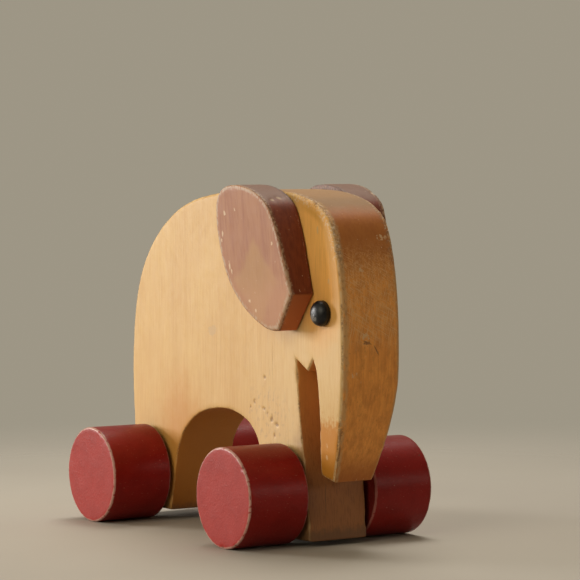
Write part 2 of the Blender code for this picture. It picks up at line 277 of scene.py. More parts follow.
def face_points(outline, holes, marks):
    """Return scattered (x, z) points that fill a face, clear of its border and holes.

    They lie closer together round the (x, z) centres in marks.
    """
    low, high = outline.min(0), outline.max(0)
    rows = int((high[1] - low[1]) / (FACE_STEP * 0.87)) + 1
    columns = int((high[0] - low[0]) / FACE_STEP) + 1
    row, column = np.mgrid[0:rows, 0:columns]
    grid = np.stack([low[0] + (column + row % 2 / 2) * FACE_STEP,
                     low[1] + row * FACE_STEP * 0.87], -1).reshape(-1, 2)
    random = np.random.default_rng(SEED)
    grid += random.uniform(-0.16, 0.16, grid.shape) * FACE_STEP
    for mark in marks:
        grid = grid[np.linalg.norm(grid - mark, axis=1) > MARK_REACH]
    count = int(MARK_REACH / MARK_STEP)
    across, up = np.mgrid[-count:count + 1, -count:count + 1] * MARK_STEP
    patch = np.stack([across + up * 0.3, up], -1).reshape(-1, 2)
    patch = patch[np.linalg.norm(patch, axis=1) < MARK_REACH - MARK_STEP]
    for i, mark in enumerate(marks):
        fine = patch + mark
        for earlier in marks[:i]:
            fine = fine[np.linalg.norm(fine - earlier, axis=1) > MARK_REACH]
        grid = np.vstack([grid, fine])
    grid = grid[inside(grid, outline)]
    grid = grid[distance_to(grid, outline) > FACE_STEP * 0.75]
    for centre, radius, _ in holes:
        grid = grid[np.linalg.norm(grid - centre, axis=1) > radius + FACE_STEP * 0.6]
    return grid


def fill_face(border, holes, loose):
    """Return triangles, anticlockwise in (x, z), over border, hole rings and loose points."""
    flat = np.vstack([border, *holes, loose]) * 1000
    flat[:len(border)] += np.random.default_rng(SEED).uniform(-FILL_JITTER, FILL_JITTER, border.shape)
    border = flat[:len(border)] / 1000
    edges, start = [], 0
    for ring in [border, *holes]:
        count = len(ring)
        edges += [(start + i, start + (i + 1) % count) for i in range(count)]
        start += count
    made = geometry.delaunay_2d_cdt([Vector(p) for p in flat], edges, [], 0, 1e-7)
    corners, triangles, origins = made[0], np.array(made[2]), made[3]
    centres = np.array([[*v] for v in corners])[triangles].mean(1) / 1000
    keep = inside(centres, border)
    for ring in holes:
        keep &= ~inside(centres, ring)
    source = np.array([o[0] for o in origins])
    triangles = source[triangles[keep]]
    a, b, c = (flat[triangles[:, k]] for k in range(3))
    area = (b[:, 0] - a[:, 0]) * (c[:, 1] - a[:, 1]) - (b[:, 1] - a[:, 1]) * (c[:, 0] - a[:, 0])
    triangles[area < 0] = triangles[area < 0][:, ::-1]
    return triangles[area != 0]


def circle(centre, radius, sides=HOLE_SIDES):
    """Return the (x, z) points of a circle."""
    angle = np.arange(sides) * 2 * pi / sides
    return np.stack([centre[0] + radius * np.cos(angle), centre[1] + radius * np.sin(angle)], 1)


def at_y(flat, y):
    """Return (x, y, z) points from (x, z) ones and their y."""
    return np.column_stack([flat[:, 0], np.broadcast_to(y, len(flat)), flat[:, 1]])


class Mesh:
    """Gathers points, their values for the finishes, and faces."""

    def __init__(self):
        self.points, self.values, self.faces, self.count = [], [], [], 0

    def add(self, points, arris, rim):
        """Add points with their distance from the nearest arris and their share of rim."""
        points = np.asarray(points, float)
        self.points.append(points)
        columns = [np.broadcast_to(np.asarray(value, float), len(points)) for value in (arris, rim)]
        self.values.append(np.stack(columns, 1))
        first = self.count
        self.count += len(points)
        return np.arange(first, self.count)

    def join(self, lower, upper):
        """Add the faces between two rings that run the same way."""
        after_lower, after_upper = np.roll(lower, -1), np.roll(upper, -1)
        self.faces += np.stack([lower, upper, after_upper, after_lower], 1).tolist()

    def fan(self, ring, tip):
        """Add triangles from a ring to one point."""
        self.faces += [(int(a), int(b), int(tip)) for a, b in zip(ring, np.roll(ring, -1))]

    def build(self, name):
        """Return the mesh object, with smooth faces and its values as attributes."""
        mesh = bpy.data.meshes.new(name)
        mesh.from_pydata(np.vstack(self.points).tolist(), [], self.faces)
        mesh.update()
        mesh.shade_smooth()
        values = np.vstack(self.values)
        for column, attribute in enumerate(("arris", "rim")):
            made = mesh.attributes.new(attribute, "FLOAT", "POINT")
            made.data.foreach_set("value", values[:, column].astype(np.float32))
        made = bpy.data.objects.new(name, mesh)
        bpy.context.scene.collection.objects.link(made)
        return made


def trunk_share(points):
    """Return how much of the board's thickness the trunk keeps at each (x, y, z) point."""
    drop = np.clip((TRUNK_TAPER_TOP - points[:, 2]) / (TRUNK_TAPER_TOP - TRUNK_TIP_HEIGHT), 0, None)
    loss = 1 - TRUNK_TIP_THICKNESS / (2 * HALF_BODY)
    share = 1 - loss * drop ** TRUNK_TAPER_POWER
    return np.where(points[:, 0] > TRUNK_REAR_X, share, 1.0)


def plate(outline, corners, faces, holes, marks):
    """Build a board along Y between two faces.

    faces holds (y at each outline point, slope of y with z, arris radii, way out) for the
    right and then the left face. holes holds (centre, radius, y of its end) for each face,
    and a hole whose end is None goes right through. marks holds the (x, z) places of dents
    in each face.
    """
    mesh = Mesh()
    direction = inset_directions(outline, corners)
    rings = []
    for face_y, _, radii, way in faces:
        for step in range(ARRIS_STEPS + 1):
            angle = pi / 2 * (1 - step / ARRIS_STEPS)
            inward = outline + direction * (radii * (1 - cos(angle)))[:, None]
            y = face_y - way * radii * (1 - sin(angle))
            arris = np.abs(np.full(len(outline), sin(angle) - cos(angle))) * radii
            rings.append((inward, y, arris, 1 - sin(angle)))
    right = rings[:ARRIS_STEPS + 1]
    left = rings[ARRIS_STEPS + 1:][::-1]
    between = []
    for step in range(1, WALL_RINGS):
        t = step / WALL_RINGS
        y = right[-1][1] * (1 - t) + left[0][1] * t
        arris = np.minimum(y - right[-1][1], left[0][1] - y) + faces[0][2]
        between.append((outline, y, arris, 1.0))
    indices = []
    for flat, y, arris, rim in right + between + left:
        ring = with_round_corners(np.column_stack([at_y(flat, y), arris]), corners)
        indices.append(mesh.add(ring[:, :3], ring[:, 3], rim))
    for lower, upper in zip(indices, indices[1:]):
        mesh.join(lower, upper)
    close_plate(mesh, faces, holes, marks, indices)
    return mesh


def close_plate(mesh, faces, holes, marks, indices):
    """Close a plate's two faces round their holes, and line the holes."""
    mouths = []
    ends = (indices[0], indices[-1])
    for (face_y, slope, _, way), found, places, ring in zip(faces, holes, marks, ends):
        border = np.vstack(mesh.points)[ring]
        border_flat = border[:, [0, 2]]
        level = np.polyfit(border[:, 2], border[:, 1], 1) if slope else (0, face_y[0])
        loose = face_points(border_flat, found, places)
        rims = [circle(centre, radius) for centre, radius, _ in found]
        known = [mesh.add(at_y(rim, np.polyval(level, rim[:, 1])), DEEP, 0.0) for rim in rims]
        mouths.append(known)
        depth = distance_to(loose, border_flat) + 0.0008
        inner = mesh.add(at_y(loose, np.polyval(level, loose[:, 1])), depth, 0.0)
        triangles = np.concatenate([ring, *known, inner])[fill_face(border_flat, rims, loose)]
        mesh.faces += (triangles[:, ::-1] if way > 0 else triangles).tolist()
        for mouth, (centre, radius, end) in zip(known, found):
            if end is None:
                continue
            bottom = mesh.add(at_y(circle(centre, radius), end), DEEP, 1.0)
            tip = mesh.add([(centre[0], end, centre[1])], DEEP, 1.0)[0]
            mesh.join(*(mouth, bottom)[::way])
            mesh.fan(bottom[::-way], tip)
    for (_, _, end), one, other in zip(holes[0], *mouths):
        if end is None:
            mesh.join(other, one)


# Wear in the shape: dents, chips and uneven arrises

def unevenness(points, size, octaves=3, shift=0.0):
    """Return noise from about -1 to 1 at each point, with features of the given size."""
    offset = Vector((shift, shift * 0.7, -shift))
    return np.array([noise.fractal(Vector(p) / size + offset, 1.0, 2.0, octaves) for p in points])


def dent(points, centre, radii, depth, roughness=0.25):
    """Return how deep a dent with a ragged border is at each point."""
    offset = (points - np.array(centre)) / np.array(radii)
    far = np.linalg.norm(offset, axis=1)
    result = np.zeros(len(points))
    near = far < 1.6
    if near.any():
        ragged = far[near] + roughness * unevenness(points[near], min(radii) * 0.8, 2, centre[0] * 900)
        result[near] = depth * np.clip(1 - ragged ** 2, 0, 1) ** 0.75
    return result


def press_in(thing, wear, dents):
    """Move a mesh's points inward by wear(points, arris, dents), and keep how far."""
    mesh = thing.data
    count = len(mesh.vertices)
    points, normals, arris = np.zeros(count * 3), np.zeros(count * 3), np.zeros(count, np.float32)
    mesh.vertices.foreach_get("co", points)
    mesh.vertex_normals.foreach_get("vector", normals)
    mesh.attributes["arris"].data.foreach_get("value", arris)
    points = points.reshape(-1, 3)
    depth = wear(points, arris.astype(float), dents)
    mesh.vertices.foreach_set("co", (points - normals.reshape(-1, 3) * depth[:, None]).ravel())
    worn = mesh.attributes.new("dent", "FLOAT", "POINT")
    worn.data.foreach_set("value", depth.astype(np.float32))
    mesh.update()


# Dents and chips: place, size and depth
BODY_DENTS = [
    ((0.0308, -0.0155, 0.0732), (0.0012, 0.002, 0.0012), 0.00030),
    ((0.0223, -0.0155, 0.0618), (0.0011, 0.002, 0.0016), 0.00032),
    ((0.0190, -0.0155, 0.0592), (0.0007, 0.002, 0.0009), 0.00026),
    ((0.0298, -0.0155, 0.0591), (0.0018, 0.002, 0.0010), 0.00032),
    ((0.0331, -0.0155, 0.0572), (0.0008, 0.002, 0.0007), 0.00024),
    ((0.0364, -0.0155, 0.0546), (0.0015, 0.002, 0.0016), 0.00036),
    ((0.0405, -0.0155, 0.0527), (0.0020, 0.002, 0.0013), 0.00036),
    ((0.0388, -0.0155, 0.0476), (0.0010, 0.002, 0.0015), 0.00028),
    ((0.0120, 0.0155, 0.0810), (0.0010, 0.002, 0.0013), 0.00038),
    ((-0.0350, 0.0155, 0.0940), (0.0008, 0.002, 0.0018), 0.00038),
    ((-0.0230, 0.0155, 0.0710), (0.0013, 0.002, 0.0009), 0.00040),
    ((0.0927, -0.0022, 0.0912), (0.002, 0.0020, 0.0010), 0.00050),
    ((0.0872, -0.0120, 0.0528), (0.0012, 0.0012, 0.0030), 0.00035),
    ((0.0829, -0.0112, 0.0402), (0.0012, 0.0010, 0.0026), 0.00030),
]
EAR_CHIPS = [
    ((0.0532, -0.0215, 0.1543), (0.0030, 0.0030, 0.0016), 0.0004),
    ((0.0545, -0.0262, 0.1535), (0.0020, 0.0020, 0.0014), 0.0004),
    ((0.0168, -0.0312, 0.1358), (0.0014, 0.0012, 0.0024), 0.0005),
    ((0.0225, -0.0298, 0.1213), (0.0012, 0.0012, 0.0026), 0.0005),
    ((0.0342, 0.0170, 0.1592), (0.0070, 0.0026, 0.0026), 0.0004),
    ((0.0500, 0.0310, 0.1560), (0.0020, 0.0016, 0.0016), 0.0005),
]
WHEEL_CHIPS = [
    ((0.0646, -0.0486, 0.0375), (0.0016, 0.0009, 0.0016), 0.0004),
    ((0.0702, -0.0486, 0.0250), (0.0009, 0.0009, 0.0020), 0.0004),
    ((0.0476, -0.0487, 0.0008), (0.0018, 0.0008, 0.0008), 0.0004),
    ((0.0580, -0.0487, 0.0024), (0.0013, 0.0008, 0.0010), 0.0004),
]


def with_dents(depth, points, dents):
    """Return the depth of wear with each dent added where it goes deeper."""
    for centre, radii, deepest in dents:
        depth = np.maximum(depth, dent(points, centre, radii, deepest))
    return np.clip(depth, 0, None)


def worn_board(points, arris, dents):
    """Return how much hand sanding and years of play have taken off a board."""
    near_arris = np.clip(1 - arris / 0.0022, 0, 1)
    depth = 0.00005 + 0.00004 * unevenness(points, 0.012)
    depth += near_arris * (0.00010 + 0.00022 * np.clip(unevenness(points, 0.005, 3, 3.1), 0, 1))
    depth += near_arris * 0.00030 * np.clip(unevenness(points, 0.0022, 2, 9.4) - 0.45, 0, 1)
    return with_dents(depth, points, dents)


def worn_wheel(points, arris, dents):
    """Return how much of a wheel's paint and rim is worn or knocked away."""
    near_rim = np.clip(1 - arris / 0.0014, 0, 1)
    depth = 0.00002 + 0.00002 * unevenness(points, 0.010)
    depth += near_rim * (0.00004 + 0.00016 * np.clip(unevenness(points, 0.004, 3, 5.0), 0, 1))
    return with_dents(depth, points, dents)


# The pieces that stand for CAD boards and turned parts

def board_outline(node, y, faces):
    """Return a CAD board's fine outline, its arris radii on two faces, and its corners."""
    coarse = thinned(np.array(section(node, y)[0]), 0.0008)
    radii = [arris_rounds(node, coarse, face_y, way) for face_y, way in faces]
    fine = [fine_outline(coarse, radius) for radius in radii]
    outline, _, corners = fine[0]
    return outline, [values for _, values, _ in fine], corners


def middle(node):
    """Return the (x, z) middle of a CAD node's box."""
    low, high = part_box(node)
    return np.array([(low.x + high.x) / 2, (low.z + high.z) / 2])


def pin_hole(node, other):
    """Return (centre, radius) of the hole for a pin along Y, from the section that it makes."""
    low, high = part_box(node)
    y = (max(low.y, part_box(other)[0].y) + min(high.y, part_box(other)[1].y)) / 2
    for loop in section(other, y)[1:]:
        loop = np.array(loop)
        if np.linalg.norm(loop.mean(0) - middle(node)) < HOLE_REACH:
            return middle(node), float(np.linalg.norm(loop - middle(node), axis=1).mean())
    raise ValueError(f"{other} has no hole for {node}")


def marks_in(dents, y):
    """Return the (x, z) places of the dents in the flat face at y."""
    return [np.array((centre[0], centre[2])) for centre, _, _ in dents if abs(centre[1] - y) < 1e-4]


def build_body():
    """Build the body board, with its bores for axles, ear dowels and eye shanks."""
    outline, radii, corners = board_outline("body", 0.0, [(-HALF_BODY, -1), (HALF_BODY, 1)])
    flat = np.full(len(outline), HALF_BODY)
    faces = [(-flat, 0, radii[0], -1), (flat, 0, radii[1], 1)]
    holes = []
    for side, way in SIDES.items():
        found = [(*pin_hole(f"{end}_axle", "body"), None) for end in ("front", "rear")]
        for pin, depth in ((f"{side}_ear_dowel_upper", EAR_DOWEL_DEPTH),
                           (f"{side}_ear_dowel_lower", EAR_DOWEL_DEPTH),
                           (f"{side}_eye", EYE_SHANK_DEPTH)):
            found.append((*pin_hole(pin, "body"), way * (HALF_BODY - depth)))
        holes.append(found)
    marks = [marks_in(BODY_DENTS, way * HALF_BODY) for way in SIDES.values()]
    mesh = plate(outline, corners, faces, holes, marks)
    for points in mesh.points:
        points[:, 1] *= trunk_share(points)
    return mesh.build("worn_body")


def outer_plane(node, way):
    """Return (slope, level) of a CAD board's outer face, as y = slope * z + level."""
    places = set()
    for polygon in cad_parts[node].data.polygons:
        if polygon.normal.y * way > 0.99:
            for index in polygon.vertices:
                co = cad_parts[node].data.vertices[index].co
                if abs(co.y) > HALF_BODY + 0.009:
                    places.add((co.z, co.y))
    z, y = np.array(sorted(places)).T
    slope, level = np.polyfit(z, y, 1)
    return float(slope), float(level)


def build_ear(side, way):
    """Build an ear that thickens toward its top, with its dowels' holes inside."""
    node = f"{side}_ear"
    low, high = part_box(node)
    inner_y = min(abs(low.y), abs(high.y)) * way
    slope, level = outer_plane(node, way)
    faces = [(inner_y, -way), (slope * (low.z + high.z) / 2 + level, way)]
    outline, radii, corners = board_outline(node, inner_y + way * 0.006, faces)
    inner = (np.full(len(outline), inner_y), 0, np.minimum(radii[0], INNER_EAR_ARRIS), -way)
    outer = (slope * outline[:, 1] + level, slope, radii[1], way)
    found = []
    for pin in ("upper", "lower"):
        centre, radius = pin_hole(f"{side}_ear_dowel_{pin}", node)
        found.append((centre, radius, inner_y + way * EAR_HOLE_DEPTH))
    mesh = plate(outline, corners, [inner, outer][::way], [found, []][::way], [[], []])
    return mesh.build(f"worn_{side}_ear")


def lathe(name, profile, centre, way):
    """Turn (radius, y, arris, rim) points about an axis along Y through an (x, z) centre."""
    mesh = Mesh()
    rings = []
    for radius, y, arris, rim in profile:
        flat = circle(centre, radius, LATHE_SIDES) if radius else np.array([centre])
        rings.append(mesh.add(at_y(flat, y), arris, rim))
    for one, other in zip(rings, rings[1:]):
        one, other = (one, other)[::way]
        if len(one) == 1:
            mesh.fan(other, one[0])
        elif len(other) == 1:
            mesh.fan(one[::-1], other[0])
        else:
            mesh.join(one, other)
    return mesh.build(name)


def spread(start, end, step):
    """Return even values from start to end, both included, about a step apart."""
    return np.linspace(start, end, max(1, round(abs(end - start) / step)) + 1)


def build_wheel(end, side, way):
    """Build a turned wheel with finely rounded rims and a blind bore for its axle."""
    node = f"{end}_{side}_wheel"
    low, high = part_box(node)
    radius = (high.z - low.z) / 2
    inner, outer = sorted((low.y, high.y), key=abs)
    bore = pin_hole(f"{end}_axle", node)[1]
    bore_end = inner + way * WHEEL_BORE_DEPTH
    rim = WHEEL_RIM_ROUND
    profile = [(0, bore_end, 0.01, 1.0)]
    profile += [(bore, y, 0.01, 1.0) for y in spread(bore_end, inner, 0.002)]
    profile += [(r, inner, radius - r, 0.0) for r in spread(bore, radius - rim, 0.001)[1:-1]]
    for face, facing, order in ((inner, -way, 1), (outer, way, -1)):
        corner = []
        for step in range(ARRIS_STEPS + 1):
            angle = pi / 2 * step / ARRIS_STEPS
            off = abs(sin(angle) - cos(angle)) * rim
            corner.append((radius - rim * (1 - sin(angle)), face - facing * rim * (1 - cos(angle)),
                           off, sin(angle)))
        profile += corner[::order]
        if order > 0:
            barrel = spread(inner + way * rim, outer - way * rim, 0.001)[1:-1]
            profile += [(radius, y, min(abs(y - inner), abs(outer - y)), 1.0) for y in barrel]
    profile += [(r, outer, radius - r, 0.0) for r in spread(radius - rim, 0.0005, 0.001)[1:]]
    profile += [(0, outer, 0.02, 0.0)]
    return lathe(f"painted_{node}", profile, middle(node), way)


def build_eye(side, way):
    """Build an eye: a domed, dimpled button on the shank that is driven into the head."""
    node = f"{side}_eye"
    low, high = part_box(node)
    radius = (high.x - low.x) / 2
    shank_end = min(low.y, high.y, key=abs)
    seat = way * (HALF_BODY + EYE_ROUND)
    places = [(0, shank_end), (EYE_SHANK, shank_end), (EYE_SHANK, seat)]
    places += [(r, seat) for r in spread(EYE_SHANK, radius - EYE_ROUND, 0.0006)[1:]]
    places += [(radius, seat + way * EYE_ROUND)]
    places += [(radius, y) for y in spread(seat + way * 2 * EYE_ROUND, seat + way * EYE_WALL, 0.0004)]
    profile = [(r, y, 0.01, 1.0) for r, y in places]
    for step in range(1, EYE_STEPS + 1):
        angle = step / EYE_STEPS * pi / 2
        r = radius * cos(angle) * (step < EYE_STEPS)
        sunk = DIMPLE_DEPTH * np.exp(-(r / DIMPLE_RADIUS) ** 2)
        profile.append((r, seat + way * (EYE_WALL + EYE_DOME * sin(angle) - sunk), 0.01, 0.0))
    return lathe(f"domed_{node}", profile, middle(node), way)


# Finishes

class Nodes:
    """Adds shader nodes to a tree. Methods return sockets that later ones take."""

    def __init__(self, tree, coordinates):
        self.tree = tree
        self.place = self.new("ShaderNodeTexCoord").outputs[coordinates]

    def new(self, kind):
        """Add a node."""
        return self.tree.nodes.new(kind)

    def feed(self, socket, value):
        """Give a socket a number, a colour or another node's output."""
        if isinstance(value, bpy.types.NodeSocket):
            self.tree.links.new(value, socket)
        elif isinstance(value, tuple) and len(value) == 3 and socket.type == "RGBA":
            socket.default_value = (*value, 1)
        else:
            socket.default_value = value

    def maths(self, operation, a, b=0.0):
        """Return the result of one operation of the Math node."""
        node = self.new("ShaderNodeMath")
        node.operation = operation
        self.feed(node.inputs[0], a)
        self.feed(node.inputs[1], b)
        return node.outputs[0]

    def plus(self, a, b):
        """Return the sum."""
        return self.maths("ADD", a, b)

    def minus(self, a, b):
        """Return the difference."""
        return self.maths("SUBTRACT", a, b)

    def between(self, value, low, high):
        """Return 0 below low and 1 above high, with a smooth step between them."""
        node = self.new("ShaderNodeMapRange")
        node.interpolation_type = "SMOOTHSTEP"
        for name, given in (("Value", value), ("From Min", low), ("From Max", high)):
            self.feed(node.inputs[name], given)
        return node.outputs["Result"]

    def nor(self, mask):
        """Return the mask's opposite."""
        return self.minus(1.0, mask)

    def below(self, value, low, high):
        """Return 1 below low and 0 above high, with a smooth step between them."""
        return self.nor(self.between(value, low, high))

    def both(self, *masks):
        """Return the product of several masks or shares."""
        result = masks[0]
        for mask in masks[1:]:
            result = self.maths("MULTIPLY", result, mask)
        return result

    def either(self, *masks):
        """Return the strongest of several masks."""
        result = masks[0]
        for mask in masks[1:]:
            result = self.maths("MAXIMUM", result, mask)
        return result

    def mix(self, share, a, b):
        """Return colour a with a share of colour b."""
        node = self.new("ShaderNodeMix")
        node.data_type = "RGBA"
        for number, given in ((0, share), (6, a), (7, b)):
            self.feed(node.inputs[number], given)
        return node.outputs[2]

    def tint(self, colour, tone, *masks):
        """Return a colour turned toward a tone where all the masks are strong."""
        return self.mix(self.both(*masks), colour, tone)

    def layers(self, colour, *tints):
        """Return a colour tinted in turn by each (tone, masks...)."""
        for tone, *masks in tints:
            colour = self.tint(colour, tone, *masks)
        return colour

    def axis(self, letter):
        """Return the place along one axis."""
        node = self.new("ShaderNodeSeparateXYZ")
        self.feed(node.inputs[0], self.place)
        return node.outputs["XYZ".index(letter)]

    def length(self, vector):
        """Return a vector's length."""
        node = self.new("ShaderNodeVectorMath")
        node.operation = "LENGTH"
        self.feed(node.inputs[0], vector)
        return node.outputs["Value"]


class Finish(Nodes):
    """Builds one material's nodes."""

    x = cached_property(lambda self: self.axis("X"))
    y = cached_property(lambda self: self.axis("Y"))
    z = cached_property(lambda self: self.axis("Z"))
    off_middle = cached_property(lambda self: self.maths("ABSOLUTE", self.y))
    arris = cached_property(lambda self: self.attribute("arris"))
    rim = cached_property(lambda self: self.attribute("rim"))
    dents = cached_property(lambda self: self.attribute("dent"))

    def __init__(self, name):
        self.material = bpy.data.materials.new(name)
        self.material.use_nodes = True
        super().__init__(self.material.node_tree, "Object")
        self.surface = self.tree.nodes["Principled BSDF"]
        self.heights = []

    def attribute(self, name):
        """Return a value that the mesh's points carry."""
        node = self.new("ShaderNodeAttribute")
        node.attribute_name = name
        return node.outputs["Fac"]

    def local(self, centre=(0, 0, 0), turn=(0, 0, 0), radii=(1, 1, 1)):
        """Return places measured from a centre, turned back and in units of the radii."""
        node = self.new("ShaderNodeMapping")
        node.vector_type = "TEXTURE"
        for name, given in (("Location", centre), ("Rotation", turn), ("Scale", radii)):
            node.inputs[name].default_value = given
        self.feed(node.inputs["Vector"], self.place)
        return node.outputs[0]

    def noise(self, size, stretch=(1, 1, 1), detail=3.0, roughness=0.55, turn=(0, 0, 0)):
        """Return noise whose features are about size wide, drawn out where stretch is small."""
        node = self.new("ShaderNodeTexNoise")
        for name, given in (("Scale", 1 / size), ("Detail", detail), ("Roughness", roughness)):
            node.inputs[name].default_value = given
        self.feed(node.inputs["Vector"], self.local(turn=turn, radii=[1 / share for share in stretch]))
        return node.outputs[0]

    def patches(self, low, high, *noise):
        """Return a mask that is 1 where noise, made with the other arguments, is above high."""
        return self.between(self.noise(*noise), low, high)

    def wander(self, size, reach):
        """Return noise that runs from about -reach to reach."""
        return self.maths("MULTIPLY", self.minus(self.noise(size), 0.5), 4 * reach)

    def spot(self, centre, radii, raggedness=0.3, grain=0.002, soft=0.18):
        """Return a mask that is 1 in a ragged spot round a place and 0 outside it."""
        far = self.plus(self.length(self.local(centre, radii=radii)), self.wander(grain, raggedness))
        return self.below(far, 1 - soft, 1 + soft)

    def diamond(self, centre, radii, raggedness, grain):
        """Return a mask that is 1 in a soft upright diamond round an (x, z) place."""
        across, up = (self.maths("ABSOLUTE", self.maths("DIVIDE", self.minus(place, middle), radius))
                      for place, middle, radius in zip((self.x, self.z), centre, radii))
        far = self.plus(self.plus(across, up), self.wander(grain, raggedness))
        return self.below(far, 0.80, 1.12)

    def line(self, start, end, width):
        """Return a mask that is 1 along a thin straight scratch from start to end."""
        start, end = Vector(start), Vector(end)
        along = end - start
        turn = Vector((1, 0, 0)).rotation_difference(along.normalized()).to_euler()
        radii = (along.length / 2, width / 2, width / 2)
        return self.below(self.length(self.local((start + end) / 2, turn, radii)), 0.5, 1.2)

    def raise_by(self, height, amount):
        """Add a height map to the bump, in metres."""
        self.heights.append(self.maths("MULTIPLY", height, amount))

    def finish(self, colour, roughness, gloss=0.5):
        """Connect the colour, the roughness and the gathered bump, and return the material."""
        self.surface.inputs["Specular IOR Level"].default_value = gloss
        self.feed(self.surface.inputs["Base Color"], colour)
        self.feed(self.surface.inputs["Roughness"], roughness)
        if self.heights:
            total = self.heights[0]
            for height in self.heights[1:]:
                total = self.plus(total, height)
            bump = self.new("ShaderNodeBump")
            bump.inputs["Strength"].default_value = 1.0
            bump.inputs["Distance"].default_value = 1.0
            self.feed(bump.inputs["Height"], total)
            self.feed(self.surface.inputs["Normal"], bump.outputs["Normal"])
        return self.material


ALONG_Z = (1, 1, 0.045)         # stretches grain along Z

# Scratches on the body: where each starts and ends, its width, and how strong it shows
BODY_SCRATCHES = (
    ((0.0377, -0.0155, 0.0905), (0.0374, -0.0155, 0.0705), 0.0004, 0.4),
    ((0.0352, -0.0155, 0.0780), (0.0346, -0.0155, 0.0735), 0.0004, 0.4),
    ((0.0927, -0.0044, 0.0922), (0.0927, 0.0002, 0.0905), 0.0009, 1.0),
    ((0.0927, 0.0012, 0.0903), (0.0926, 0.0040, 0.0855), 0.0006, 1.0),
    ((0.0660, -0.0064, 0.0100), (0.0642, -0.0052, 0.0290), 0.0005, 1.0),
    ((0.0876, -0.0128, 0.0540), (0.0852, -0.0121, 0.0450), 0.0007, 1.0),
    ((0.0855, -0.0117, 0.0470), (0.0829, -0.0109, 0.0395), 0.0009, 1.0),
    ((0.0832, -0.0113, 0.0405), (0.0801, -0.0100, 0.0325), 0.0007, 1.0),
)
# Pale scuffs on the body: place, radii, raggedness and grain
BODY_SCUFFS = (
    ((0.0740, -0.0155, 0.1400), (0.0007, 0.004, 0.0016), 0.4, 0.0008),
    ((0.0824, -0.0155, 0.1171), (0.0008, 0.004, 0.0018), 0.4, 0.0008),
    ((0.0764, -0.0129, 0.0455), (0.0008, 0.004, 0.0018), 0.4, 0.0008),
    ((0.0756, -0.0122, 0.0405), (0.0007, 0.004, 0.0012), 0.4, 0.0008),
    ((0.0864, 0.0099, 0.1367), (0.004, 0.0022, 0.0012), 0.5, 0.0012),
    ((0.0900, -0.0035, 0.1230), (0.004, 0.0016, 0.0014), 0.5, 0.0012),
    ((0.0927, -0.0032, 0.0938), (0.004, 0.0018, 0.0016), 0.5, 0.0012),
    ((0.0924, -0.0089, 0.0774), (0.004, 0.0015, 0.0015), 0.5, 0.0012),
)


def beech_faces(f, bands, streaks, pores, clouds):
    """Return the honey colour of the board's two faces, with painted shadows of the ear and the eye in a
    warmer tone.
    """
    honey = f.mix(f.between(bands, 0.35, 0.68), (0.605, 0.38, 0.14), (0.565, 0.34, 0.112))
    # paler toward the front of the side faces, below the ear
    paler_front = f.both(f.between(f.x, 0.0, 0.06), f.below(f.z, 0.085, 0.11), 0.7)
    # painted shadow of the ear: the strip of side face before the ear, in a saturated warm tone
    ear_shadow = f.spot((0.076, 0, 0.126), (0.0175, 0.05, 0.036), 0.08, 0.01, 0.3)
    # painted light: the top of the ear's painted shadow made brighter
    ear_shadow_top = f.spot((0.0715, 0, 0.14), (0.0165, 0.05, 0.02), 0.08, 0.01, 0.45)
    # painted shadow of the eye, up and ahead of it, in a warm tone
    eye_shadow = f.spot((0.0815, 0, 0.118), (0.006, 0.05, 0.012), 0.08, 0.01, 0.5)
    # painted shade: the band by the front arris, at the edge of the ear's painted shadow, darkened
    near_arris = f.both(f.below(f.arris, 0.0035, 0.0065), ear_shadow, 0.7)
    threads = f.patches(0.42, 0.66, 0.0005, (1, 1, 0.03), 3.0, 0.6)
    return f.layers(
        honey,
        ((0.44, 0.21, 0.05), f.between(streaks, 0.42, 0.72), 0.27),
        ((0.64, 0.415, 0.145), f.between(clouds, 0.42, 0.66), 0.5),
        ((0.36, 0.16, 0.04), pores, 0.2),
        ((0.64, 0.445, 0.2), paler_front),
        # painted shadow of the ear, painted light at its top, painted shadow of the eye, painted shade
        # by the arris
        ((0.75, 0.355, 0.08), ear_shadow, 0.8),
        ((0.93, 0.49, 0.13), ear_shadow_top, 0.95),
        ((0.95, 0.47, 0.11), eye_shadow, 0.55),
        ((0.64, 0.325, 0.066), near_arris),
        ((0.5, 0.23, 0.045), threads, 0.3))


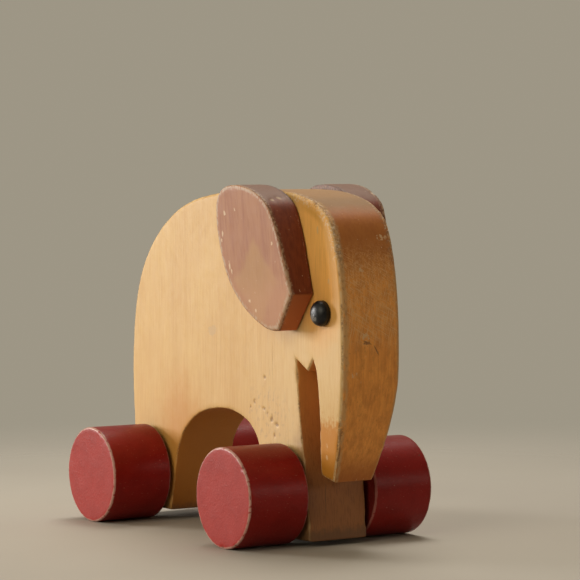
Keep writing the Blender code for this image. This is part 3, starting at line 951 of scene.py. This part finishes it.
def beech_edge(f, streaks, on_trunk, behind, crown):
    """Return the deeper colour of the sawn edge, place by place round the board, with painted shade low
    on the legs and in the hollow beneath the belly.
    """
    edge = f.mix(f.between(streaks, 0.38, 0.68), (0.79, 0.32, 0.058), (0.67, 0.246, 0.041))
    mottle = f.patches(0.42, 0.66, 0.004, (1, 1, 0.6), 5.0, 0.65)
    ahead = f.plus(f.both(f.between(f.x, 0.02, 0.06), 0.6), 0.4)
    grains = f.patches(0.58, 0.7, 0.00055, (1, 1, 0.4), 3.0, 0.6)
    upper = f.both(f.between(f.z, 0.112, 0.138), f.between(f.x, 0.06, 0.07))
    tip = f.both(f.below(f.z, 0.03, 0.046), on_trunk)
    cut = f.both(f.below(f.z, 0.088, 0.092), f.between(f.x, 0.045, 0.055), f.nor(on_trunk))
    legs = f.both(f.below(f.z, 0.025, 0.08), f.nor(on_trunk))
    leg_grain = f.patches(0.48, 0.66, 0.0006, (1, 1, 0.07), 3.0, 0.6)
    # painted shade in the hollow beneath the belly, toward the rear
    arch_shade = f.both(legs, f.below(f.x, 0.04, 0.055))
    # painted shade: the edges behind the front leg get darker toward the bottom
    low_shade = f.both(f.below(f.z, 0.01, 0.05), f.below(f.x, 0.05, 0.06))
    return f.layers(
        edge,
        ((0.4, 0.135, 0.022), mottle, ahead, 0.38),
        ((0.24, 0.075, 0.013), grains, ahead, 0.34),
        ((0.27, 0.072, 0.008), upper, 0.78),
        ((0.5, 0.265, 0.09), behind, 0.6),
        ((0.275, 0.168, 0.076), crown, 0.85),
        ((0.34, 0.088, 0.006), tip, 0.8),
        ((0.52, 0.222, 0.056), cut, 0.85),
        # the legs' edges darker toward the ground: partly dirt, partly painted shade from the trunk and
        # belly above
        ((0.232, 0.082, 0.0235), legs, 0.85),
        ((0.15, 0.046, 0.012), legs, leg_grain, 0.45),
        # painted shade in the hollow beneath the belly, and darker toward the bottom
        ((0.19, 0.052, 0.015), arch_shade, 0.5),
        ((0.06, 0.013, 0.0055), low_shade, 0.7))


def front_wear(f, specks):
    """Return masks of the front's crossed scratches, rubbed band, pale arris and nicks."""
    front = f.both(f.between(f.x, 0.066, 0.069), f.below(f.z, 0.15, 0.156))
    hatch_zone = f.both(f.between(f.z, 0.084, 0.098), f.below(f.z, 0.122, 0.138), f.rim,
                        f.between(f.x, 0.078, 0.084))
    one_way = f.patches(0.54, 0.66, 0.0003, (1, 1, 0.03), 1.0, 0.5, (radians(60), 0, 0))
    other_way = f.patches(0.54, 0.66, 0.00032, (1, 1, 0.03), 1.0, 0.5, (radians(-14), 0, 0))
    hatching = f.both(hatch_zone, f.either(one_way, other_way))
    reach = f.plus(f.both(specks, 0.0026), f.both(f.between(f.y, -0.002, 0.002), 0.0016))
    bald = f.below(f.plus(f.arris, reach), 0.0036, 0.0056)
    patchy = f.patches(0.34, 0.52, 0.004, (1, 1, 0.4), 5.0, 0.65)
    band = f.both(bald, f.between(f.rim, 0.25, 0.6), patchy, front)
    ragged = f.patches(0.4, 0.56, 0.0018, (1, 1, 0.5), 4.0)
    line = f.both(f.below(f.arris, 0.0004, 0.0011), ragged,
                  f.either(f.both(front, 0.9), f.both(f.between(f.z, 0.09, 0.11), 0.5), 0.15))
    nicks = f.both(f.patches(0.715, 0.77, 0.0012, (1, 1, 0.55), 2.0), front)
    return hatching, band, line, nicks


def varnished_beech():
    """Honey-coloured varnish over beech, deeper on sawn edges, worn grey along the front."""
    f = Finish("varnished_beech")
    bands = f.noise(0.006, ALONG_Z, 3.0)
    streaks = f.noise(0.0011, ALONG_Z, 4.0)
    pores = f.patches(0.6, 0.74, 0.00035, (1, 1, 0.12), 2.0)
    clouds = f.noise(0.035, (1, 1, 0.6), 4.0)
    specks = f.noise(0.0016, (1, 1, 0.7), 3.0)
    on_trunk = f.between(f.x, TRUNK_REAR_X - 0.0005, TRUNK_REAR_X + 0.0005)
    behind = f.both(f.below(f.x, -0.03, 0.045), f.between(f.z, 0.06, 0.1))
    crown = f.between(f.plus(f.z, f.both(bands, 0.003)), 0.1475, 0.1535)
    crown = f.either(crown, f.both(behind, f.between(f.z, 0.105, 0.15), 0.8))

    honey = beech_faces(f, bands, streaks, pores, clouds)
    edge = beech_edge(f, streaks, on_trunk, behind, crown)
    colour = f.mix(f.between(f.rim, 0.3, 0.8), honey, edge)

    # painted shade in a warm tone: beside the rear wheel, and on the trunk's lower sides where the
    # window's reflection is lost
    shaded_orange = f.either(
        f.both(f.spot((-0.042, 0, 0.03), (0.022, 0.05, 0.036), 0.12, 0.006, 0.5), 0.7),
        f.both(f.below(f.plus(f.z, f.both(specks, 0.02)), 0.062, 0.07), on_trunk, f.nor(f.rim)),
    )
    # painted shade on the body side between the front wheel and the front leg's front edge
    leg_shade = f.both(f.spot((0.068, 0, 0.022), (0.015, 0.05, 0.033), 0.1, 0.005, 0.45),
                        f.below(f.x, 0.0668, 0.0673), f.nor(f.rim))

    hatching, band, line, nicks = front_wear(f, specks)
    by_head = f.between(f.x, 0.048, 0.058)
    crumbs = f.both(f.below(f.arris, 0.0018, 0.0034), f.between(f.z, 0.122, 0.134), by_head,
                    f.patches(0.52, 0.59, 0.001, (1, 1, 1), 3.0, 0.6))
    worn_dark = f.both(f.below(f.arris, 0.002, 0.0045), f.between(f.z, 0.118, 0.13),
                       f.between(f.rim, 0.2, 0.5), by_head,
                       f.patches(0.46, 0.56, 0.0016, (1, 1, 1), 4.0, 0.6))
    scratches = f.either(*[f.both(f.line(start, end, width), share)
                           for start, end, width, share in BODY_SCRATCHES])
    scuffs = f.either(*[f.spot(*scuff) for scuff in BODY_SCUFFS])
    crumbled = f.patches(0.36, 0.56, 0.0008)
    bruised = f.either(f.both(f.between(f.dents, 0.0001, 0.00028), crumbled), scratches)
    grubby = f.both(f.spot((0.0335, 0, 0.056), (0.018, 0.05, 0.014), 0.3, 0.004, 0.5),
                    f.patches(0.5, 0.66, 0.0022, (1, 1, 0.6), 4.0, 0.6))
    smudge = f.spot((-0.0135, -0.0155, 0.0924), (0.0035, 0.01, 0.0022), 0.5, 0.002)
    soles = f.both(f.below(f.plus(f.z, f.both(specks, -0.006)), 0.002, 0.0065), 0.6)
    colour = f.layers(
        colour,
        ((0.19, 0.07, 0.02), leg_shade, 0.85),
        ((0.5, 0.19, 0.012), shaded_orange, 0.92),
        ((0.76, 0.44, 0.18), hatching, 0.62),
        ((0.52, 0.315, 0.135), band, 0.75),
        ((0.26, 0.13, 0.05), band, f.between(specks, 0.54, 0.64), 0.5),
        ((0.68, 0.47, 0.25), line, 0.8),
        ((0.7, 0.5, 0.29), nicks, 0.7),
        ((0.72, 0.58, 0.42), crumbs, 0.6),
        ((0.2, 0.115, 0.055), worn_dark, 0.5),
        ((0.66, 0.45, 0.24), scuffs, f.between(specks, 0.42, 0.56), 0.7),
        ((0.32, 0.205, 0.118), grubby, 0.42),
        ((0.17, 0.08, 0.03), bruised, 0.75),
        ((0.3, 0.27, 0.22), smudge, 0.2),
        ((0.1, 0.055, 0.025), soles))

    f.raise_by(streaks, 0.00005)
    f.raise_by(pores, -0.00002)
    f.raise_by(hatching, -0.00005)
    f.raise_by(clouds, 0.0004)
    f.raise_by(scratches, -0.00015)
    f.raise_by(nicks, -0.0001)
    roughness = f.plus(f.both(f.noise(0.004), 0.16), 0.46)
    roughness = f.plus(roughness, f.both(band, 0.2))
    roughness = f.plus(roughness, f.both(crown, f.rim, 0.14))
    return f.finish(colour, roughness, 0.34)


# Places, widths and heights of the pale nicks on the ears' faces
EAR_NICKS = (
    (0.0223, 0.1471, 0.0008, 0.0012), (0.0192, 0.138, 0.0007, 0.0018), (0.0179, 0.1349, 0.0006, 0.001),
    (0.0229, 0.1237, 0.0007, 0.0022), (0.0243, 0.1212, 0.0006, 0.0012), (0.031, 0.1489, 0.0007, 0.001),
    (0.0373, 0.1084, 0.0009, 0.0009), (0.0416, 0.1041, 0.0008, 0.0008), (0.0592, 0.1343, 0.0007, 0.0009),
)


def stained_ear_wood():
    """Pinkish brown stain, rubbed pale on the arrises and in the middle of the ear."""
    f = Finish("stained_ear_wood")
    streaks = f.noise(0.0012, ALONG_Z, 4.0)
    bands = f.noise(0.005, ALONG_Z, 3.0)
    stain = f.mix(f.between(bands, 0.35, 0.7), (0.37, 0.162, 0.073), (0.33, 0.13, 0.06))
    middle = f.diamond((0.0445, 0.117), (0.018, 0.02), 0.12, 0.01)
    low_part = f.below(f.z, 0.108, 0.122)
    rubbed_pink = f.spot((0.06, 0, 0.108), (0.01, 0.05, 0.018), 0.2, 0.006, 0.6)
    stain = f.layers(
        stain,
        ((0.26, 0.085, 0.034), f.between(streaks, 0.45, 0.7), 0.4),
        ((0.41, 0.22, 0.076), middle, 0.6),
        ((0.47, 0.235, 0.115), low_part, 0.45),
        ((0.44, 0.205, 0.105), rubbed_pink, 0.5))
    edge = f.mix(f.between(streaks, 0.35, 0.7), (0.19, 0.038, 0.012), (0.135, 0.025, 0.0085))
    lower = f.below(f.z, 0.1115, 0.1128)
    crown = f.between(f.plus(f.z, f.both(bands, 0.006)), 0.154, 0.158)
    edge = f.layers(
        edge,
        ((0.55, 0.16, 0.05), lower, 0.85),
        ((0.19, 0.1, 0.058), crown, 0.8))
    colour = f.mix(f.between(f.rim, 0.35, 0.9), stain, edge)
    outside = f.between(f.off_middle, 0.02, 0.022)
    band = f.both(f.below(f.arris, 0.0008, 0.0024), f.between(f.rim, 0.3, 0.6), outside)
    fuzz = f.patches(0.44, 0.6, 0.0009, (1, 1, 0.5), 4.0)
    inside = f.both(f.below(f.off_middle, 0.016, 0.0185),
                    f.either(f.below(f.rim, 0.2, 0.5), f.between(f.z, 0.15, 0.154)))
    mauve = f.mix(fuzz, (0.09, 0.05, 0.04), (0.185, 0.105, 0.082))
    off = f.maths("ABSOLUTE", f.minus(f.plus(f.arris, f.wander(0.004, 0.0006)), 0.001))
    ragged = f.patches(0.4, 0.54, 0.0012, (1, 1, 0.5), 4.0)
    line = f.both(f.below(off, 0.0004, 0.0014), f.below(f.rim, 0.3, 0.6), ragged, outside)
    dots = f.both(f.between(f.arris, 0.001, 0.0014), f.below(f.arris, 0.0018, 0.0026),
                  f.patches(0.58, 0.64, 0.0011))
    rubbed = f.either(line, f.both(dots, 0.45))
    bruised = f.between(f.dents, 0.00025, 0.00042)
    nicks = f.patches(0.73, 0.78, 0.0013, (1, 1, 0.5), 2.0)
    knocks = f.either(*[f.spot((across, 0, up), (width, 0.05, height), 0.4, 0.0009)
                        for across, up, width, height in EAR_NICKS])
    pale = f.either(f.both(bruised, outside, 0.7), f.both(nicks, 0.7), f.both(knocks, outside, 0.8))
    colour = f.layers(
        colour,
        (f.mix(fuzz, (0.16, 0.07, 0.03), (0.41, 0.27, 0.155)), band, 0.8),
        (mauve, inside, 0.85),
        ((0.47, 0.355, 0.245), rubbed, 0.72),
        ((0.62, 0.46, 0.3), pale))
    f.raise_by(streaks, 0.00006)
    f.raise_by(f.noise(0.0004, (1, 1, 0.1), 2.0), 0.00003)
    roughness = f.plus(f.both(f.noise(0.004), 0.16), 0.48)
    return f.finish(colour, roughness, 0.34)


def red_painted_wood():
    """Red paint on end grain, with a pale worn line round each rim and dust in scratches."""
    f = Finish("red_painted_wood")
    mottle = f.noise(0.008, (1, 1, 1), 4.0)
    fine = f.noise(0.0009, (1, 1, 1), 2.0)
    colour = f.mix(f.between(mottle, 0.35, 0.7), (0.335, 0.027, 0.02), (0.295, 0.022, 0.016))
    # painted shade: the barrel's red is a darker copy of the face's, for the shade that falls on the
    # barrel
    side = f.mix(f.between(mottle, 0.35, 0.7), (0.232, 0.01, 0.007), (0.2, 0.008, 0.0055))
    # painted shade on the wheels' inner faces, which face the body
    inner = f.both(f.below(f.off_middle, 0.0184, 0.0192), f.nor(f.rim))
    dust = f.patches(0.68, 0.76, 0.0005, (1, 0.4, 1), 2.0)
    ragged = f.patches(0.33, 0.46, 0.0022)
    outer_rim = f.plus(f.both(f.between(f.off_middle, 0.02, 0.03), 0.65), 0.35)
    line = f.both(f.below(f.plus(f.arris, f.wander(0.003, 0.0003)), 0.00055, 0.00115), ragged, outer_rim)
    chipped = f.between(f.dents, 0.0002, 0.00034)
    flecks = f.both(f.patches(0.7, 0.74, 0.0018, (1, 1, 1), 2.0), f.below(f.arris, 0.003, 0.006))
    colour = f.layers(
        colour,
        # painted shade on the barrel
        (side, f.between(f.rim, 0.5, 0.9)),
        ((0.15, 0.008, 0.005), f.between(fine, 0.5, 0.75), 0.3),
        # painted shade on the inner faces
        ((0.06, 0.006, 0.005), inner, 0.75),
        ((0.5, 0.24, 0.17), dust, 0.45),
        ((0.47, 0.285, 0.23), line, 0.8),
        ((0.12, 0.04, 0.024), f.either(chipped, flecks), 0.75))
    f.raise_by(mottle, 0.00012)
    f.raise_by(fine, 0.00007)
    roughness = f.plus(f.both(f.noise(0.003), 0.14), 0.27)
    return f.finish(colour, roughness, 0.16)


def bare_dowel():
    """Plain pale hardwood rod, with its grain along Y."""
    f = Finish("bare_dowel")
    streaks = f.noise(0.0008, (1, 0.05, 1), 4.0)
    colour = f.mix(f.between(streaks, 0.35, 0.7), (0.6, 0.42, 0.23), (0.46, 0.29, 0.14))
    pores = f.patches(0.62, 0.75, 0.0003, (1, 0.1, 1), 2.0)
    colour = f.tint(colour, (0.3, 0.17, 0.07), pores, 0.4)
    f.raise_by(streaks, 0.00008)
    return f.finish(colour, f.plus(f.both(streaks, 0.2), 0.55))


def black_lacquer():
    """Black lacquer with a satin shine, dulled by fine scratches."""
    f = Finish("black_lacquer")
    scuffs = f.noise(0.0007, (1, 1, 0.4), 4.0, 0.6, (0, radians(35), 0))
    colour = f.mix(f.between(scuffs, 0.5, 0.75), (0.004, 0.004, 0.005), (0.02, 0.02, 0.02))
    worn = f.either(
        f.spot((0.0775, -0.0203, 0.102), (0.0024, 0.003, 0.0014), 0.8, 0.0006),
        f.spot((0.0775, 0.0203, 0.102), (0.0024, 0.003, 0.0014), 0.8, 0.0006),
    )
    colour = f.tint(colour, (0.2, 0.19, 0.175), worn, 0.7)
    f.raise_by(scuffs, 0.00004)
    return f.finish(colour, f.plus(f.both(scuffs, 0.2), 0.28), 0.34)


def fibre():
    """Pressed red-brown fibre, faintly mottled."""
    f = Finish("fibre")
    mottle = f.noise(0.0012, (1, 1, 1), 4.0)
    colour = f.mix(f.between(mottle, 0.35, 0.7), (0.2, 0.055, 0.03), (0.13, 0.035, 0.02))
    f.raise_by(mottle, 0.00005)
    return f.finish(colour, f.plus(f.both(mottle, 0.2), 0.6))


FINISHES = {
    "varnished_beech": varnished_beech(),
    "stained_ear_wood": stained_ear_wood(),
    "red_painted_wood": red_painted_wood(),
    "bare_dowel": bare_dowel(),
    "black_lacquer": black_lacquer(),
    "fibre": fibre(),
}


def stand_for(piece, node, body, slot):
    """Show a piece in place of a CAD node, riding on its body, in its slot's finish."""
    piece.data.materials.append(FINISHES[slot])
    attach(piece, body)
    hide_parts(node)


def refinish(node, slot):
    """Give a CAD node that is shown as it is its finish."""
    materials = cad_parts[node].data.materials
    materials.clear()
    materials.append(FINISHES[slot])


body = build_body()
press_in(body, worn_board, BODY_DENTS)
stand_for(body, "body", "body", "varnished_beech")
for side, way in SIDES.items():
    ear = build_ear(side, way)
    press_in(ear, worn_board, EAR_CHIPS)
    stand_for(ear, f"{side}_ear", "body", "stained_ear_wood")
    stand_for(build_eye(side, way), f"{side}_eye", "body", "black_lacquer")
    for pin in ("upper", "lower"):
        refinish(f"{side}_ear_dowel_{pin}", "bare_dowel")
    for end in ("front", "rear"):
        wheel = build_wheel(end, side, way)
        press_in(wheel, worn_wheel, WHEEL_CHIPS)
        stand_for(wheel, f"{end}_{side}_wheel", f"{end}_wheelset", "red_painted_wood")
        refinish(f"{end}_{side}_washer", "fibre")
for end in ("front", "rear"):
    refinish(f"{end}_axle", "bare_dowel")


# Stage, light and camera

FLOOR_SOLID = 0.12
FLOOR_RADIUS = 0.6


def make_floor():
    """Lay a plain pale floor that fades into the room round it."""
    bm = bmesh.new()
    bmesh.ops.create_circle(bm, cap_ends=True, segments=96, radius=FLOOR_RADIUS)
    mesh = bpy.data.meshes.new("floor")
    bm.to_mesh(mesh)
    bm.free()
    floor = bpy.data.objects.new("floor", mesh)
    bpy.context.scene.collection.objects.link(floor)
    f = Finish("pale_floor")
    colour = f.mix(f.patches(0.3, 0.7, 0.25), (0.40, 0.365, 0.31), (0.37, 0.335, 0.285))
    f.feed(f.surface.inputs["Alpha"], f.below(f.length(f.place), FLOOR_SOLID, FLOOR_RADIUS))
    mesh.materials.append(f.finish(colour, 0.75, 0.2))


def make_light(name, direction, distance, size, power, colour):
    """Add a soft square light that faces the toy from a direction."""
    light = bpy.data.lights.new(name, "AREA")
    light.shape = "SQUARE"
    light.size = size
    light.energy = power
    light.color = colour
    lamp = bpy.data.objects.new(name, light)
    bpy.context.scene.collection.objects.link(lamp)
    target = Vector((0, 0, 0.08))
    way = Vector(direction).normalized()
    lamp.location = target + way * distance
    lamp.rotation_mode = "QUATERNION"
    lamp.rotation_quaternion = (-way).to_track_quat("-Z", "Y")


def make_world(behind, ahead, below):
    """Surround the toy with soft light, dimmer ahead of the toy and toward the ground."""
    world = bpy.data.worlds.new("room")
    world.use_nodes = True
    nodes = Nodes(world.node_tree, "Generated")
    round_about = nodes.mix(nodes.between(nodes.axis("X"), -0.1, 0.8), behind, ahead)
    tone = nodes.mix(nodes.between(nodes.axis("Z"), -0.6, -0.1), below, round_about)
    nodes.feed(nodes.tree.nodes["Background"].inputs["Color"], tone)
    bpy.context.scene.world = world


CAMERA_PLACE = Vector((1.0645, -0.6816, 0.1645))
CAMERA_LENS = 169.93            # in mm
FILM_WIDTH = 36                 # in mm


def make_camera():
    """Look at the toy from its right front corner, a little above level."""
    yaw, pitch, roll = radians(56.66), radians(2.42), radians(-0.281)
    forward = Vector((-sin(yaw) * cos(pitch), cos(yaw) * cos(pitch), -sin(pitch)))
    right = forward.cross(Vector((0, 0, 1))).normalized()
    up = right.cross(forward)
    right_rolled = cos(roll) * right + sin(roll) * up
    up_rolled = cos(roll) * up - sin(roll) * right
    camera = bpy.data.objects.new("camera", bpy.data.cameras.new("camera"))
    bpy.context.scene.collection.objects.link(camera)
    matrix = Matrix((right_rolled, up_rolled, -forward)).transposed().to_4x4()
    matrix.translation = CAMERA_PLACE
    camera.matrix_world = matrix
    camera.data.lens = CAMERA_LENS
    camera.data.sensor_width = FILM_WIDTH
    bpy.context.scene.camera = camera


make_floor()
make_light("window", (-0.805, -0.593, 0.16), 1.6, 0.5, 21, (1.0, 0.97, 0.93))
make_light("ceiling", (-0.28, 0.25, 0.93), 2.0, 1.0, 30, (1.0, 0.96, 0.90))
make_light("room", (0.30, -0.90, 0.45), 1.8, 1.1, 12, (1.0, 0.91, 0.72))
make_light("lamp", (0.82, 0.54, 0.19), 1.6, 0.28, 1.3, (1.0, 0.90, 0.76))
make_world((0.34, 0.305, 0.236), (0.15, 0.130, 0.098), (0.030, 0.025, 0.019))
make_camera()
bpy.context.scene.view_settings.view_transform = "Standard"
